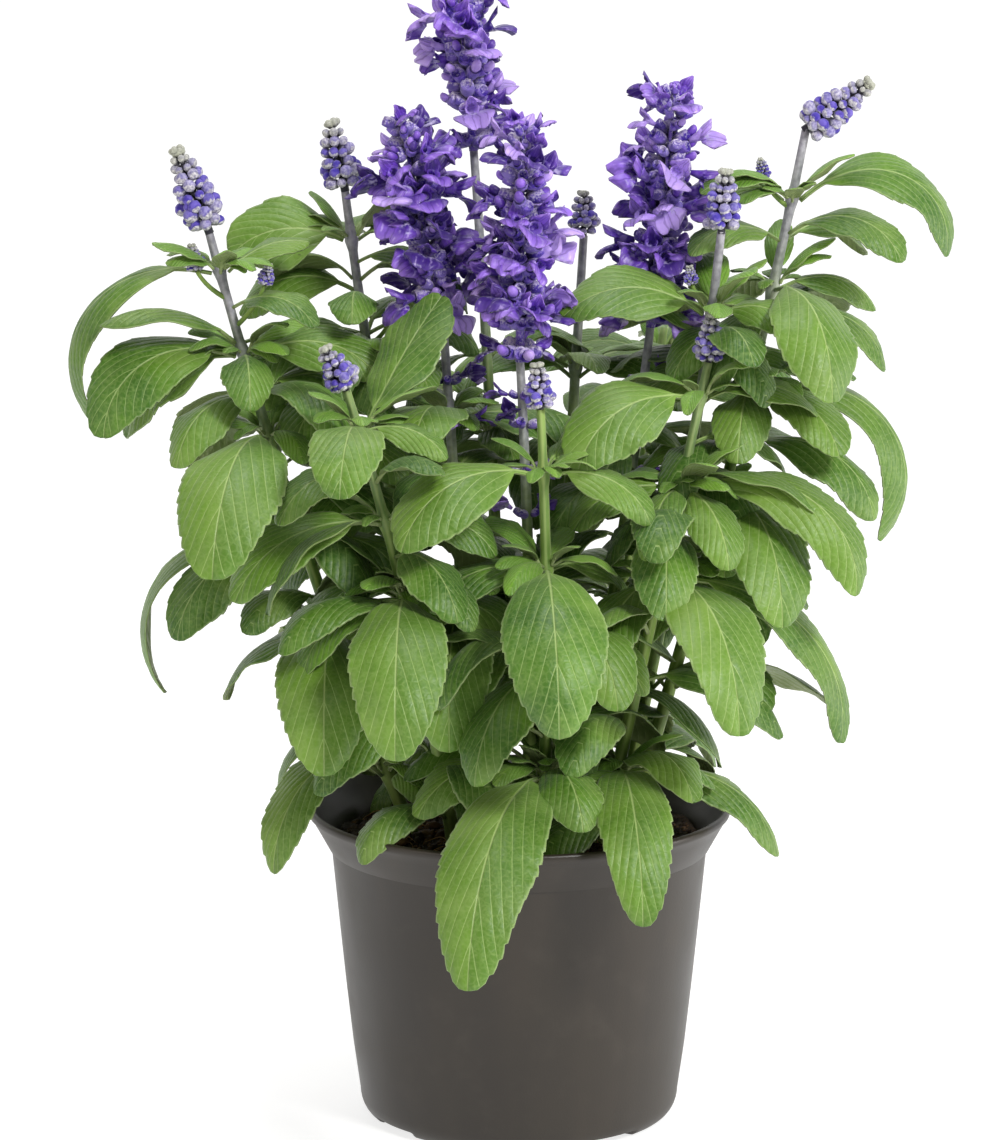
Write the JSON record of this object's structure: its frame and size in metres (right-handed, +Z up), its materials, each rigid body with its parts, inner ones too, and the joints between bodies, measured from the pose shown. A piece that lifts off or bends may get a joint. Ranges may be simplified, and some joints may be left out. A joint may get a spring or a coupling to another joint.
{
  "type": "potted mealycup sage",
  "caption": "Bushy potted herb with square stems, toothed lance-shaped leaves and violet flower spikes in a round grey nursery pot.",
  "frame": {"origin": "centre of the flat pad under the pot, on the surface that the pot stands on", "axes": "+Z up along the pot's axis, -Y to the front, +X to the right seen from the front"},
  "size_m": [0.2717, 0.2203, 0.3526],
  "materials": {
    "pot_plastic": "satin",
    "potting_soil": "matte",
    "stem": "satin",
    "leaf": "satin",
    "petal": "matte",
    "bud": "matte"
  },
  "bodies": {
    "root": {"pot": "pot_plastic", "potting_soil": "potting_soil", "stem_a": "stem", "stem_b": "stem", "stem_c": "stem", "stem_d": "stem", "stem_e": "stem", "stem_f": "stem", "stem_g": "stem", "stem_h": "stem", "stem_i": "stem", "stem_j": "stem", "stem_k": "stem", "stem_l": "stem", "stem_m": "stem", "stem_n": "stem", "bud_spike_a": "bud", "bud_spike_b": "bud", "flower_spike_c": "petal", "flower_spike_d": "petal", "flower_spike_e": "petal", "bud_spike_f": "bud", "flower_spike_g": "petal", "bud_spike_h": "bud", "bud_spike_i": "bud", "bud_spike_j": "bud", "bud_spike_k": "bud", "bud_spike_l": "bud", "leaf_whorl_a1": "leaf", "leaf_whorl_a2": "leaf", "leaf_whorl_a3": "leaf", "leaf_whorl_a4": "leaf", "leaf_whorl_a5": "leaf", "leaf_whorl_a6": "leaf", "leaf_whorl_b1": "leaf", "leaf_whorl_b2": "leaf", "leaf_whorl_c1": "leaf", "leaf_whorl_d1": "leaf", "leaf_whorl_d2": "leaf", "leaf_whorl_e1": "leaf", "leaf_whorl_f1": "leaf", "leaf_whorl_g1": "leaf", "leaf_whorl_h1": "leaf", "leaf_whorl_i1": "leaf", "leaf_whorl_i2": "leaf", "leaf_whorl_i3": "leaf", "leaf_whorl_i4": "leaf", "leaf_whorl_j1": "leaf", "leaf_whorl_j2": "leaf", "leaf_whorl_j3": "leaf", "leaf_whorl_k1": "leaf", "leaf_whorl_k2": "leaf", "leaf_whorl_k3": "leaf", "leaf_whorl_l1": "leaf", "leaf_whorl_l2": "leaf", "leaf_whorl_l3": "leaf", "leaf_whorl_l4": "leaf", "leaf_whorl_m1": "leaf", "leaf_whorl_n1": "leaf", "leaf_whorl_n2": "leaf"}
  },
  "joints": []
}
